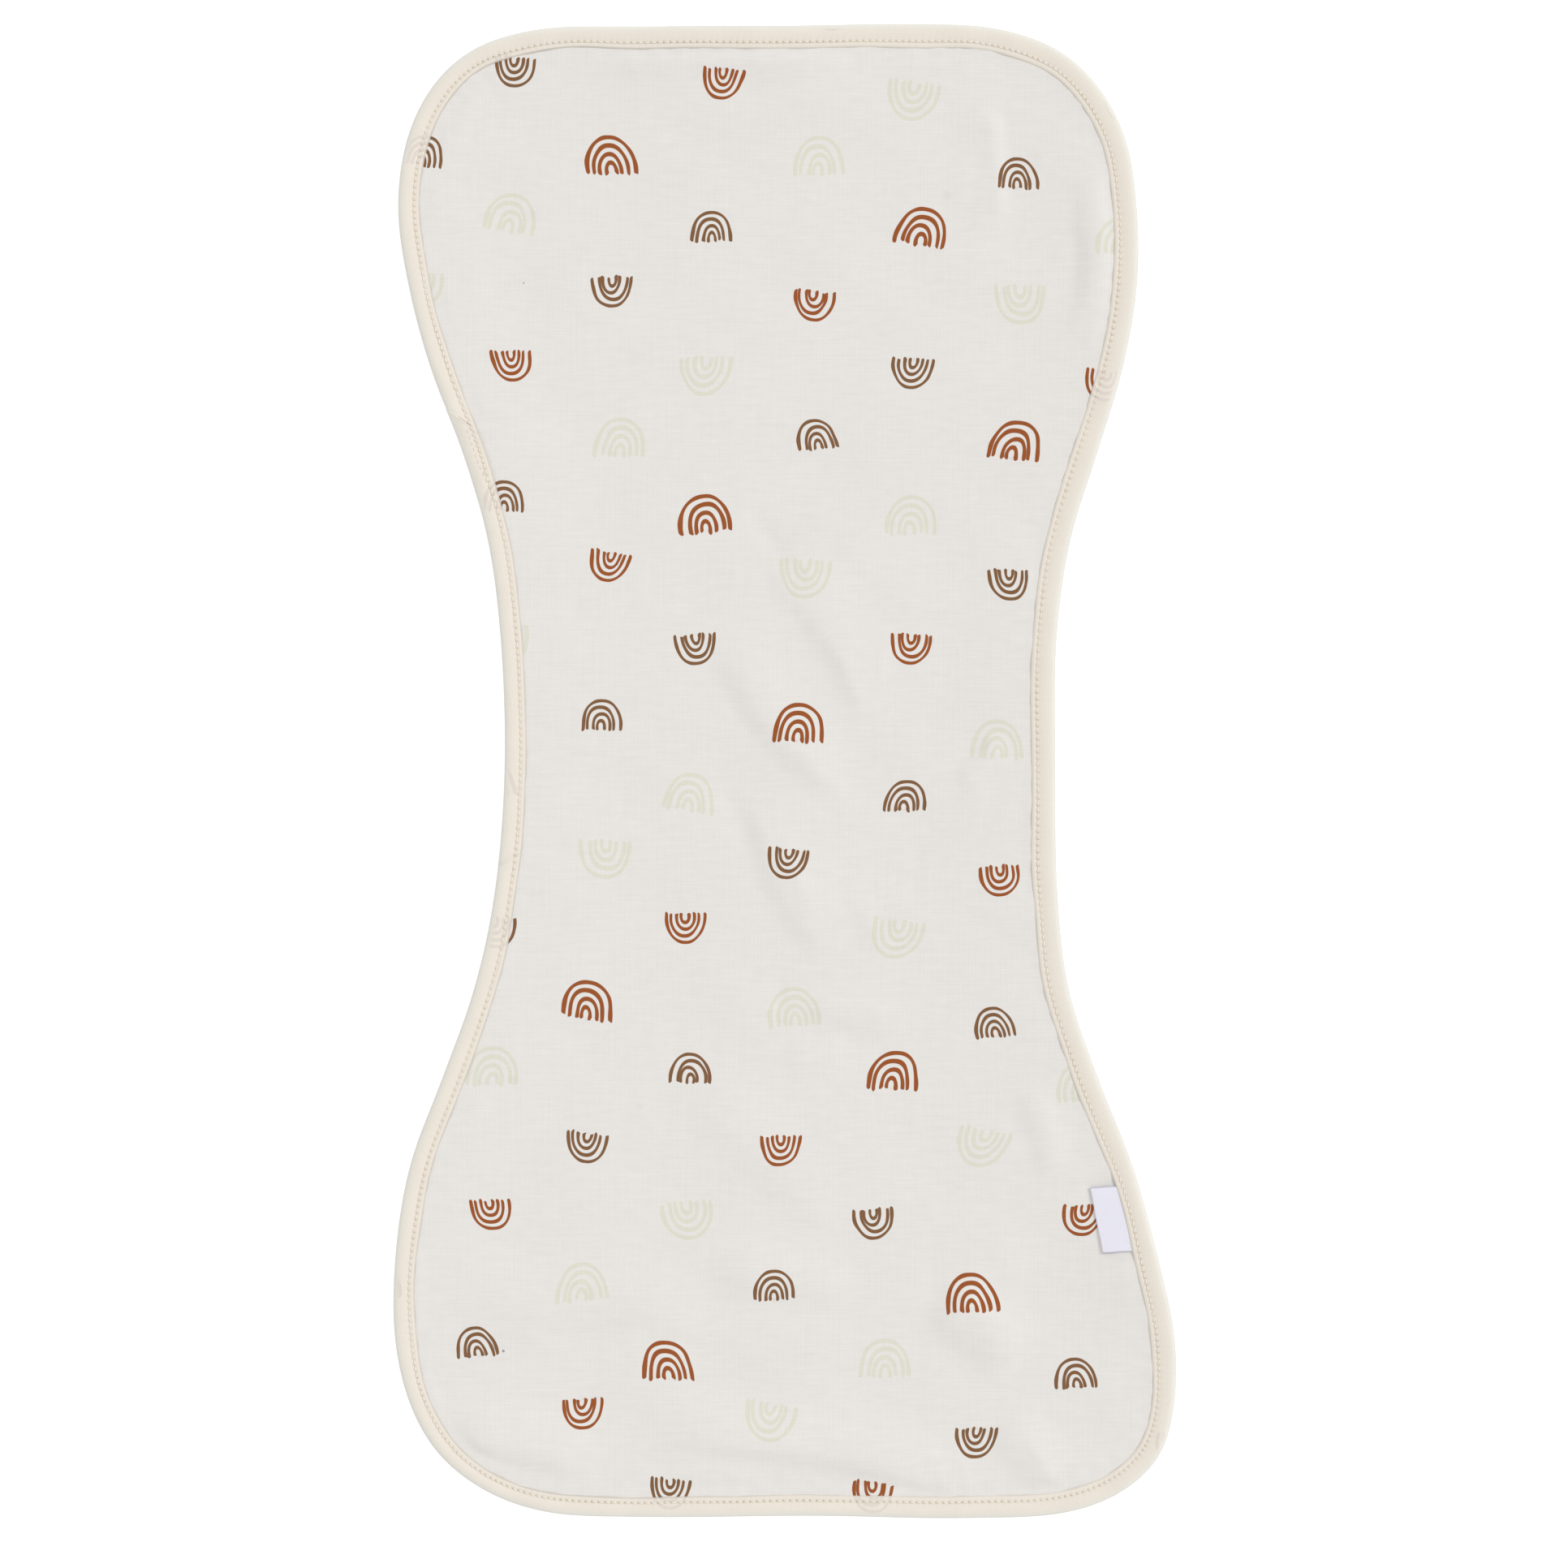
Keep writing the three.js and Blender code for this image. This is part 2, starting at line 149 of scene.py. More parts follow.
# Distance past a place on the edge, negative before it.
def pastPlace(along, place):
    return (along - place + perimeter / 2) % perimeter - perimeter / 2


def edgeLift(x, y):
    total = 0
    for across, up, reach, height in edgeSizes.lifts:
        total = total + height * cosineBell(np.hypot(x + middle[0] - across, y + middle[1] - up), reach)
    return total


# Waves that close round the edge: sines with whole numbers of turns and random phases.
def wander(along, height, length, seed):
    random = np.random.default_rng(seed)
    total = 0
    for _ in range(5):
        turns = round(perimeter / length * random.uniform(0.6, 1.5))
        total = total + np.sin(2 * np.pi * turns * along / perimeter + random.uniform(0, 2 * np.pi))
    return height * (total / 5**0.5)


# All faces are quads. The mesh keeps its place in its vertices, and its object stays at the origin.
def makePiece(name, vertices, faces, materials, faceMaterial=None, uv=None):
    mesh = bpy.data.meshes.new(name)
    mesh.vertices.add(len(vertices))
    mesh.vertices.foreach_set("co", (vertices * mm).ravel())
    mesh.loops.add(faces.size)
    mesh.loops.foreach_set("vertex_index", faces.ravel().astype(np.int32))
    mesh.polygons.add(len(faces))
    mesh.polygons.foreach_set("loop_start", np.arange(0, faces.size, 4, dtype=np.int32))
    mesh.polygons.foreach_set("use_smooth", np.ones(len(faces), bool))
    for material in materials:
        mesh.materials.append(material)
    if faceMaterial is not None:
        mesh.polygons.foreach_set("material_index", faceMaterial.astype(np.int32))
    mesh.update(calc_edges=True)
    if uv is not None:
        mesh.uv_layers.new(name="lengths").data.foreach_set("uv", uv.ravel())
    mesh.validate()
    piece = bpy.data.objects.new(name, mesh)
    bpy.context.scene.collection.objects.link(piece)
    return piece


# The quads between rings of so many points, one after another; the last may meet the first.
def ringQuads(rings, points, closed):
    here = np.arange(rings if closed else rings - 1)[:, None] * points
    after = (here + points) % (rings * points)
    row = np.arange(points)[None, :]
    nextRow = (row + 1) % points
    return np.stack([here + row, after + row, after + nextRow, here + nextRow], axis=2).reshape(-1, 4)


# Shader maths: one socket, on which Python's operators add Math nodes.
class Socket:
    def __init__(self, shader, socket):
        self.shader = shader
        self.socket = socket

    def maths(self, operation, *others):
        return self.shader.maths(operation, self, *others)

    def __add__(self, other):
        return self.maths("ADD", other)

    def __sub__(self, other):
        return self.maths("SUBTRACT", other)

    def __rsub__(self, other):
        return self.shader.maths("SUBTRACT", other, self)

    def __mul__(self, other):
        return self.maths("MULTIPLY", other)

    def __truediv__(self, other):
        return self.maths("DIVIDE", other)

    def __rtruediv__(self, other):
        return self.shader.maths("DIVIDE", other, self)

    __radd__, __rmul__ = __add__, __mul__


# A material's nodes. Any node comes from node(): its type, its settings, and its sockets' values or
# links by name or number.
class Shader:
    def __init__(self, name):
        self.material = bpy.data.materials.new(name)
        self.material.use_nodes = True
        self.tree = self.material.node_tree
        self.tree.nodes.clear()

    def node(self, kind, settings, inputs, output=0):
        made = self.tree.nodes.new("ShaderNode" + kind)
        for key, value in settings.items():
            setattr(made, key, value)
        for key, value in inputs.items():
            if isinstance(value, Socket):
                self.tree.links.new(value.socket, made.inputs[key])
            else:
                made.inputs[key].default_value = value
        return Socket(self, made.outputs[output]) if made.outputs else None

    def maths(self, operation, *values):
        return self.node("Math", {"operation": operation}, dict(enumerate(values)))

    def length(self, first, second):
        return (first * first + second * second).maths("SQRT")

    # a sine wave between 0 and 1, once a turn
    def wave(self, turns):
        return (turns * (2 * math.pi)).maths("SINE") * 0.5 + 0.5

    # 0 below low, 1 above high and a smooth rise between them
    def rise(self, value, low, high):
        limits = {"Value": value, "From Min": low, "From Max": high}
        return self.node("MapRange", {"interpolation_type": "SMOOTHSTEP"}, limits)

    def mix(self, share, first, second):
        return self.node("Mix", {"data_type": "RGBA"}, {0: share, 6: first, 7: second}, output=2)

    def shade(self, colour, factor):
        settings = {"data_type": "RGBA", "blend_type": "MULTIPLY"}
        grey = self.node("CombineColor", {}, {0: factor, 1: factor, 2: factor})
        return self.node("Mix", settings, {0: 1.0, 6: colour, 7: grey}, output=2)

    def vector(self, x, y, z):
        return self.node("CombineXYZ", {}, {0: x, 1: y, 2: z})

    # noise round 0.5, mostly between 0.25 and 0.75, with its grain this many millimetres wide and high
    def noise(self, x, y, width, height, detail=2.0, seed=0.0):
        place = self.vector(x / width, y / height, seed)
        return self.node("TexNoise", {}, {"Vector": place, "Scale": 1.0, "Detail": detail})

    def parts(self, kind, whole):
        outputs = self.node(kind, {}, {0: whole}).socket.node.outputs
        return [Socket(self, part) for part in outputs]

    # x, y and z of the place on the object, in millimetres
    def place(self):
        return [part / mm for part in self.parts("SeparateXYZ", self.node("TexCoord", {}, {}, output=3))]

    # the two lengths that the piece's own map holds, in millimetres
    def lengths(self):
        return self.parts("SeparateXYZ", self.node("UVMap", {"uv_map": "lengths"}, {}))[:2]

    # the material: its colour and tone, the height of its relief, its looks, and what is rougher
    def finish(self, colour, tone, height, looks, rougher=0.0):
        relief = {"Height": height, "Distance": looks.relief * mm, "Strength": 1.0}
        surface = self.node("BsdfPrincipled", {}, {
            "Base Color": self.shade(colour, tone), "Roughness": looks.roughness + rougher,
            "Normal": self.node("Bump", {}, relief), **looks.constants})
        self.node("OutputMaterial", {}, {"Surface": surface})
        return self.material


print("tools ready")

cameraSizes = Sizes(
    aim=(-0.3, -4.4, 3.0),  # the middle of the view, a little above the cloth
    viewWidth=533.2, lens=100.0, sensor=36.0,
)
lightSizes = Sizes(
    fill=0.8,  # strength of the even light from all sides
    key=1.0,
    keyWidth=12.0,  # degrees across: a far, wide lamp
    keyTurn=28.0,  # where it stands, in degrees from the right towards the upper end
    keyHeight=43.0,  # degrees above the floor
)
floorSizes = Sizes(  # a lit white panel
    width=16000.0,
    depth=0.25,  # how far it lies below the cloth
    colour=(0.97, 0.97, 0.97, 1.0), grain=2.0, grainTone=0.02, relief=0.02,
    roughness=0.9,
    constants={"Emission Color": (1.0, 1.0, 1.0, 1.0), "Emission Strength": 0.35},
)


# A colour from sRGB of 0 to 255.
def paint(red, green, blue):
    return (*(((value / 255 + 0.055) / 1.055) ** 2.4 for value in (red, green, blue)), 1.0)


def makeCamera():
    size = cameraSizes
    data = bpy.data.cameras.new("camera")
    data.lens = size.lens
    data.sensor_width = size.sensor
    camera = bpy.data.objects.new("camera", data)
    x, y, z = size.aim
    away = size.viewWidth * size.lens / size.sensor
    camera.location = (x * mm, y * mm, (z + away) * mm)
    bpy.context.scene.collection.objects.link(camera)
    bpy.context.scene.camera = camera


def makeLights():
    world = bpy.data.worlds.new("fill")
    world.use_nodes = True
    background = world.node_tree.nodes["Background"]
    background.inputs["Color"].default_value = (1.0, 1.0, 1.0, 1.0)
    background.inputs["Strength"].default_value = lightSizes.fill
    bpy.context.scene.world = world
    bpy.context.scene.view_settings.view_transform = "Standard"
    data = bpy.data.lights.new("key", "SUN")
    data.energy = lightSizes.key
    data.angle = math.radians(lightSizes.keyWidth)
    key = bpy.data.objects.new("key", data)
    tilt, turn = 90 - lightSizes.keyHeight, 90 + lightSizes.keyTurn
    key.rotation_euler = (math.radians(tilt), 0, math.radians(turn))
    bpy.context.scene.collection.objects.link(key)


def makeFloor():
    size = floorSizes
    shader = Shader("paper floor")
    x, y = shader.place()[:2]
    grain = shader.noise(x, y, size.grain, size.grain)
    tone = 1.0 - size.grainTone / 2 + grain * size.grainTone
    material = shader.finish(size.colour, tone, grain, size)
    half = size.width / 2
    corners = np.array([(-half, -half), (half, -half), (half, half), (-half, half)])
    vertices = np.column_stack([corners, np.full(4, -size.depth)])
    makePiece("floor", vertices, np.arange(4)[None, :], [material])


makeCamera()
makeLights()
makeFloor()
print("camera, lights and floor ready")

printStyle = Sizes(
    columnGap=34.0, rowGap=48.0,
    start=(0.37, 0.16),  # shares of the two gaps
    gridTurn=-2.0,  # degrees
    wander=3.2,  # how far a motif strays from the middle of its place
    turn=0.15,  # radians
    smallSize=0.79,
    arches=[(1.55, 3.4), (3.65, 6.3), (5.9, 9.2), (8.3, 12.0)],  # half width, height
    roundness=2.25,  # 2 is an ellipse, more is squarer
    slip=(0.5, 1.3, 1.5, 0.5),  # how far each arch may lie off the middle
    topLean=0.22,  # how far it may lean for each millimetre of its height
    halfLine=0.72,
    softness=0.12,  # half the width over which a line's edge fades
    base=-5.9,
    run=(9.0, 1.6),  # grain and size of the lines' unevenness in their run,
    feet=(1.9, 2.4),  # their ends
    weight=(5.0, 0.5),  # and their thickness
    columnStep=31.3,  # how far on the noise is read for each column, row and arch, and the feet
    rowStep=37.7, archStep=13.7, feetStep=0.4, rust=paint(152, 80, 32),
    brown=paint(127, 89, 56), sage=paint(220, 219, 203),
)


# The print: nested arches, half of them upside down, on a half-drop grid. An arch is the upper half of
# a rounded ellipse standing on the base line. The ray from the middle of that line through a place
# meets it at the place over r, the p-th root of |x / width|^p + |y / height|^p, so the place lies
# its own distance times 1 - 1 / r beyond the arch. Gives the share of ink, its colour, and 1 where
# the colour is a dark one.
def printPattern(shader, x, y):
    style = printStyle
    turn = math.radians(style.gridTurn)
    across = (x * math.cos(turn) + y * math.sin(turn)) / style.columnGap + style.start[0]
    column = across.maths("FLOOR")
    drop = column.maths("FLOORED_MODULO", 2.0) * 0.5
    upward = (y * math.cos(turn) - x * math.sin(turn)) / style.rowGap + style.start[1] + drop
    row = upward.maths("FLOOR")
    kind = (row + column * 2.0).maths("FLOORED_MODULO", 6.0)
    chances = []
    for seed in (3.0, 8.0):
        random = shader.node("TexWhiteNoise", {}, {"Vector": shader.vector(column, row, seed)}, output=1)
        chances += [chance - 0.5 for chance in shader.parts("SeparateColor", random)]
    u = (across - column - 0.5) * style.columnGap + chances[0] * (2 * style.wander)
    v = (upward - row - 0.5) * style.rowGap + chances[1] * (2 * style.wander)
    lean = chances[2] * (2 * style.turn)
    u, v = u + v * lean, v - u * lean
    v = v * (1.0 - kind.maths("FLOORED_MODULO", 2.0) * 2.0)
    small = sum((kind.maths("COMPARE", number, 0.1) for number in (2.0, 3.0, 5.0)), start=0.0)
    size = 1.0 - small * (1.0 - style.smallSize)
    u, v = u / size, v / size
    grain, stray = style.run
    beyond = u + column * style.columnStep, v + row * style.rowStep
    run = shader.noise(*beyond, grain, grain, 0.0, seed=0.37)
    height = (v - style.base).maths("MAXIMUM", 0.0)
    u = u + (run - 0.5) * stray + height * chances[3] * style.topLean
    grain, stray = style.feet
    feet = shader.noise(u + style.feetStep, row + column, grain, 1.0, 0.0, seed=9.4) - 0.5
    below = (style.base + feet * stray - v).maths("MAXIMUM", 0.0)
    grain, stray = style.weight
    power = style.roundness
    nearest = 99.0
    for number, (width, top) in enumerate(style.arches):
        beside = u + (chances[4] if number % 2 else chances[5]) * style.slip[number]
        ray = shader.length(beside, height)
        share = ((beside.maths("ABSOLUTE") / width).maths("POWER", power)
                 + (height / top).maths("POWER", power)).maths("POWER", 1 / power)
        off = ray * (1.0 - 1.0 / share.maths("MAXIMUM", 0.02))
        weight = shader.noise(u + number * style.archStep, v, grain, grain, 0.0, seed=5.3 + number) - 0.5
        halfLine = weight * stray + style.halfLine
        nearest = (shader.length(off, below) - halfLine).maths("MINIMUM", nearest)
    ink = 1.0 - shader.rise(nearest, -style.softness, style.softness)
    hue = kind.maths("FLOORED_MODULO", 3.0)
    isSage = hue.maths("COMPARE", 1.0, 0.1)
    dark = shader.mix(hue.maths("COMPARE", 0.0, 0.1), style.brown, style.rust)
    return ink, shader.mix(isSage, dark, style.sage), 1.0 - isSage


knitStyle = Sizes(
    waleGap=0.77, courseGap=0.52,
    warp=0.5,  # how far a wale strays
    warpGrain=(9.0, 14.0),
    loopShare=0.35,  # the rest of the height is the wales'
)
knitFinish = {"Sheen Weight": 0.12, "Sheen Roughness": 0.6, "Specular IOR Level": 0.2}


# Height of a plain knit, 0 to 1: a wale is a ridge across x, and its loops are waves along y that
# lean towards the middle of the wale. Gives the wale's share of it too, 0 to 1.
def knitHeight(shader, x, y):
    style = knitStyle
    wandering = x + (shader.noise(x, y, *style.warpGrain) - 0.5) * (2 * style.warp)
    wale = (wandering / style.waleGap).maths("PINGPONG", 0.5) * 2.0
    loops = shader.wave(y / style.courseGap + wale * 0.5)
    return wale * (1 - style.loopShare) + loops * style.loopShare, wale


# Tone of an uneven yarn, near 1: the sum of noises of several grains, and the wales a little brighter.
def yarnTone(shader, x, y, wale, looks):
    tone = looks.tone
    for width, height, seed, strength in looks.grains:
        tone = tone + (shader.noise(x, y, width, height, seed=seed) - 0.5) * strength
    return tone + wale * looks.waleTone


marks = [  # across, up, radius, depth: flecks and faint spots in the knit
    (-96.2, 56.9, 0.7, 0.62), (-89.3, 420.3, 0.5, 0.42), (-57.5, 324.6, 0.5, 0.4),
    (-92.9, 149.0, 2.3, 0.05), (54.5, 450.2, 2.2, 0.04),
    (-86.2, 443.5, 2.0, 0.035), (-49.8, 140.2, 1.8, 0.03),
]
markCore = 0.3  # the share of a mark's radius that is as dark as its middle
bodyLooks = Sizes(
    colour=paint(229, 226, 222), tone=0.985,
    grains=[  # width, height, seed and strength
        (15.0, 0.6, 1.0, 0.085),  # thick places, running across
        (0.5, 26.0, 2.0, 0.06),  # threads, running down
        (38.0, 30.0, 3.0, 0.03),
        (5.5, 2.2, 5.0, 0.065),
    ],
    waleTone=0.03,
    inkShare=0.95,  # of the knit that the pale ink covers,
    darkInkShare=0.045,  # more under the dark ones
    inkGrain=0.45, inkUneven=0.08, relief=0.035, roughness=0.93, constants=knitFinish,
)


# The knit of the body: the printed face, or the plain underside.
def bodyKnit(name, isPrinted):
    looks = bodyLooks
    shader = Shader(name)
    x, y = shader.place()[:2]
    height, wale = knitHeight(shader, x, y)
    tone = yarnTone(shader, x, y, wale, looks)
    colour = looks.colour
    if isPrinted:
        for across, up, radius, depth in marks:
            far = shader.length(x + (middle[0] - across), y + (middle[1] - up))
            tone = tone * (1.0 - (1.0 - shader.rise(far, radius * markCore, radius)) * depth)
        ink, inkColour, isDark = printPattern(shader, x, y)
        fleck = shader.noise(x, y, looks.inkGrain, looks.inkGrain, seed=7.0) - 0.5
        soaked = ink * (looks.inkShare + isDark * looks.darkInkShare + fleck * looks.inkUneven)
        colour = shader.mix(soaked, colour, inkColour)
    return shader.finish(colour, tone, height, looks)


stripLooks = Sizes(
    knit=paint(234, 226, 214),
    pale=paint(231, 228, 219),  # a little greyer round the outer edge,
    fold=paint(221, 218, 210),  # and a painted shade, greyest where it turns under
    turnStart=(5.6, 7.0),  # lengths along the section
    paleEnd=(10.8, 12.6), foldEnd=(9.9, 10.9), tone=0.985,
    grains=[(24.0, 3.0, 4.0, 0.04), (0.5, 5.0, 6.0, 0.05)],  # width, height, seed and strength
    # painted shade: the needle holes are tinted darker
    waleTone=0.02, hole=paint(196, 172, 144), holeTint=0.5, holeFade=(0.1, 0.62),
    holeLength=1.25,  # times its width
    holeLeast=0.3,  # the share that shows where they are pulled shut
    holeGrain=(26.0, 60.0), holeRange=(0.35, 0.6), creaseBefore=0.3,
    # painted shade where the strip is creased under the lap's end
    creaseFade=(0.12, 0.55),
    creaseStart=(-3.0, -1.8),  # from the seam
    creaseEnd=(0.0, 1.0), creaseDepth=0.26,
    # a painted shade along the inner edge
    edgeFade=(-0.85, -0.5),  # from the inner edge
    edgeDepth=0.14,
    edgeLeft=1.45,  # times that at the left, and 1 less at the right
    edgeAcross=(-80.0, 20.0), printBelow=paint(203, 189, 187), belowShare=0.34,
    belowFrom=(2.4, 3.4), relief=0.05, roughness=0.9, constants=knitFinish,
)


# The strip's knit. Its needle holes are painted shade: darker ovals on the seam, one at the end of each
# stitch, shown more or less along the edge. It has painted shade where it is creased under the lap's end
# and along its inner edge, there mostly at the left, and painted shade where it turns under at its outer
# edge. The dark inks of the print show through it faintly.
def bindingKnit(seamGirth, edgeGirth):
    looks = stripLooks
    shader = Shader("cream binding knit")
    x, y, z = shader.place()
    along, girth = shader.lengths()
    height, wale = knitHeight(shader, girth, along)
    tone = yarnTone(shader, along, girth, wale, looks)
    fromSeam = girth - seamGirth
    # painted shade in the needle holes, shown more where they are stretched open
    fromHole = (along / stitch).maths("PINGPONG", 0.5) * stitch
    fromHole = shader.length(fromHole, fromSeam / looks.holeLength)
    stretch = shader.rise(shader.noise(along, girth, *looks.holeGrain, seed=9.0), *looks.holeRange)
    shown = looks.holeLeast + stretch * (1 - looks.holeLeast)
    hole = (1.0 - shader.rise(fromHole, *looks.holeFade)) * shown * looks.holeTint
    # painted shade where the strip is creased under the lap's end
    fromCrease = (along - (lapAlong - looks.creaseBefore)).maths("ABSOLUTE")
    underLap = shader.rise(fromSeam, *looks.creaseStart) - shader.rise(fromSeam, *looks.creaseEnd)
    creaseShade = (1.0 - shader.rise(fromCrease, *looks.creaseFade)) * underLap
    # painted shade along the inner edge, stronger at the left
    edgeShade = shader.rise(girth - edgeGirth, *looks.edgeFade)
    edgeShade = edgeShade * (looks.edgeLeft - shader.rise(x, *looks.edgeAcross))
    tone = tone * (1.0 - creaseShade * looks.creaseDepth) * (1.0 - edgeShade * looks.edgeDepth)
    ink, _, isDark = printPattern(shader, x, y)
    through = ink * isDark * shader.rise(z, *looks.belowFrom) * looks.belowShare
    colour = shader.mix(through, looks.knit, looks.printBelow)
    colour = shader.mix(hole, colour, looks.hole)
    # the outer edge: a little greyer, then a painted shade where it turns under
    turned = shader.rise(girth, *looks.turnStart)
    for zone in ("pale", "fold"):
        within = turned - shader.rise(girth, *looks[zone + "End"])
        colour = shader.mix(within, colour, looks[zone])
    return shader.finish(colour, tone, height, looks)


threadLooks = Sizes(
    colour=paint(244, 238, 225),
    twist=0.4,  # length of one turn
    tone=(0.94, 1.0), relief=0.03, roughness=0.6,
    constants={"Specular IOR Level": 0.35, "Sheen Weight": 0.1},
)


def seamThreadFinish():
    looks = threadLooks
    shader = Shader("cream sewing thread")
    along, around = shader.lengths()
    twist = shader.wave(along / looks.twist + around)
    dark, bright = looks.tone
    return shader.finish(looks.colour, dark + twist * (bright - dark), twist, looks)


labelLooks = Sizes(
    colour=paint(231, 230, 241), tone=0.985,
    pickGap=0.3,  # between the threads across it
    pickTone=0.02,
    pickShare=0.6,  # of the relief
    floatGrain=(0.9, 0.22),  # of the threads along it
    floatTone=0.07,
    searedFade=(-0.55, -0.1),  # its cut ends are melted
    searedDepth=0.24, searedRoughness=0.2, roughness=0.5, relief=0.03,
    constants={"Sheen Weight": 0.15, "Specular IOR Level": 0.45},
)


def labelRibbonFinish():
    looks = labelLooks
    shader = Shader("woven satin ribbon")
    along, girth = shader.lengths()
    pick = shader.wave(girth / looks.pickGap)
    floats = shader.noise(along, girth, *looks.floatGrain, seed=8.0)
    half = labelSizes.length / 2
    seared = shader.rise((along - half).maths("ABSOLUTE") - half, *looks.searedFade)
    tone = looks.tone + (floats - 0.5) * looks.floatTone + pick * looks.pickTone
    tone = tone - seared * looks.searedDepth
    height = pick * looks.pickShare + floats * (1 - looks.pickShare)
    return shader.finish(looks.colour, tone, height, looks, seared * looks.searedRoughness)


print("materials ready")

# the crest's start, bend and end, its height, and its reach to the right and to the left
mainFolds = [
    ((-8, 329), (16, 307), (30, 268), 1.35, 9, 20), ((-25, 307), (-5, 258), (24, 248), 1.45, 9, 18),
    ((-10, 252), (-5, 208), (19, 191), 1.35, 9, 22), ((42, 167), (24, 171), (4, 173), 1.0, 12, 8),
    ((-36, 147), (-8, 126), (20, 98), 1.1, 13, 20), ((26, 77), (0, 82), (-28, 82), 1.3, 16, 9),
    ((50, 77), (64, 67), (83, 52), 2.5, 16, 18), ((68, 8), (0, 31), (-52, 25), 2.0, 20, 8),
    ((-62, 16), (-90, 26), (-116, 27), 1.6, 18, 8), ((-22, 70), (-65, 76), (-115, 70), 1.2, 20, 14),
    ((72, 36), (82, 24), (93, 8), 1.2, 11, 14), ((66, 486), (72, 464), (70, 432), 1.1, 14, 7),
    ((103, 462), (107, 434), (101, 396), 1.5, 9, 16), ((34, 496), (-14, 500), (-74, 497), 1.2, 8, 12),
    ((76, 264), (66, 257), (57, 249), 1.0, 8, 9), ((81, 150), (89, 132), (93, 112), 1.1, 9, 9),
]
# creases finer than those, and troughs where the height is negative
fineFolds = [
    ((60, 464), (61.4, 453), (59.6, 442), 0.42, 8, 2.6), ((70, 480), (73.6, 464), (73.2, 441), 0.45, 6, 3),
    ((98.5, 442), (100.4, 426), (97.5, 411), -0.5, 4.5, 4.5),
    ((-117, 458), (-113, 476), (-100, 487), 0.5, 6, 8),
    ((32.6, 305), (33.2, 293), (31.6, 281), 0.3, 3.5, 3.5),
    ((-13, 346), (-3, 329), (12, 306), -0.42, 5.5, 5),
    ((-24, 252), (-17, 240), (-9, 223), -0.36, 6, 5.5), ((20, 219), (28, 204), (33, 189), 0.36, 5, 6.5),
    ((45, 233), (44, 221), (43, 209), -0.26, 4, 4.5), ((-3.6, 187), (-2.2, 176), (-2, 164), -0.32, 4, 4),
    ((4, 176), (19, 171), (34, 173), 0.32, 4, 5), ((75, 116.5), (79, 115), (84, 115), -0.34, 3, 3),
    ((89, 72), (105, 75), (117, 77), -0.42, 8, 7), ((57, 79), (64, 73.5), (71, 66), 0.6, 4.5, 3),
    ((45, 27), (52, 19), (55, 10), 0.3, 3, 3), ((55, 28), (60, 20), (62, 12), 0.26, 3, 3),
    ((81, 29), (87, 20), (92, 9), 0.48, 3.5, 4.5), ((44, 489), (53, 490), (62, 492), -0.5, 5, 5),
    ((-48, 470), (-18, 468), (10, 470), -0.24, 9, 8), ((75, 330), (77.5, 321), (78, 311), -0.26, 4, 4.5),
    ((-89, 230), (-81, 229), (-72, 226), -0.28, 4.5, 4), ((50.5, 88), (50, 81), (51, 74), -0.28, 3.5, 3.5),
    ((-53, 64), (-40, 60), (-25, 58), -0.26, 7, 7), ((-93, 66), (-84, 58), (-72, 55), 0.26, 6, 7),
    ((13, 302), (22, 288), (27, 270), 0.34, 3.5, 5), ((-2, 236), (2, 217), (12, 200), 0.34, 3.5, 5),
    ((4, 262), (10, 252), (20, 245), 0.3, 3.5, 5), ((-2, 158), (10, 157.5), (22, 160), 0.5, 12, 7),
    ((-30, 60), (0, 58), (26, 62), 0.5, 14, 10), ((-5, 13), (-25, 17), (-44, 18), 0.5, 7, 6),
    ((55, 255), (62, 259), (69, 265.5), -0.5, 3.5, 3.5),
]
bodySizes = Sizes(
    thickness=2,
    rise=0.95,  # it rises this much to enter the binding,
    riseFrom=8.2,  # between these distances inward
    riseTo=45,
    foldsTo=12.5,  # from here inward its folds have their full height
    snug=0.12,  # its face stands this much higher where the strip grips it
    ringDepths=(1.7, 5, 7.4, 8.2, 8.9, 9.7, 10.7, 12, 13.5, 15.5, 17.7, 20),
    stepsAcross=112, stepsAlong=240,
    corners=[(-116, 20), (125, 20), (106, 488), (-120, 488)],  # of the grid inside the rings
    slack=[(32, 0.17, 7), (8, 0.035, 9)],  # length, height and number of its low waves
    slackSeed=11, puckerLength=8.5, puckerHeight=0.16,
    puckerPlace=10.5,  # their middle, inward
    puckerReach=7,
    puckerShift=(2.2, 60, 3),  # radians, length and seed of how its phase wanders
    puckerVaries=(0.4, 90, 4),  # and of how its height does
    gripReach=2.6,
    showsBelow=0.8,  # the share of the finer relief
    searchParts=30,  # of the grid, to save memory
    searchStep=3,  # every third place on the edge
)
foldEase = 0.3  # the share of its crest over which a fold comes up at each end
crestSteps = 25


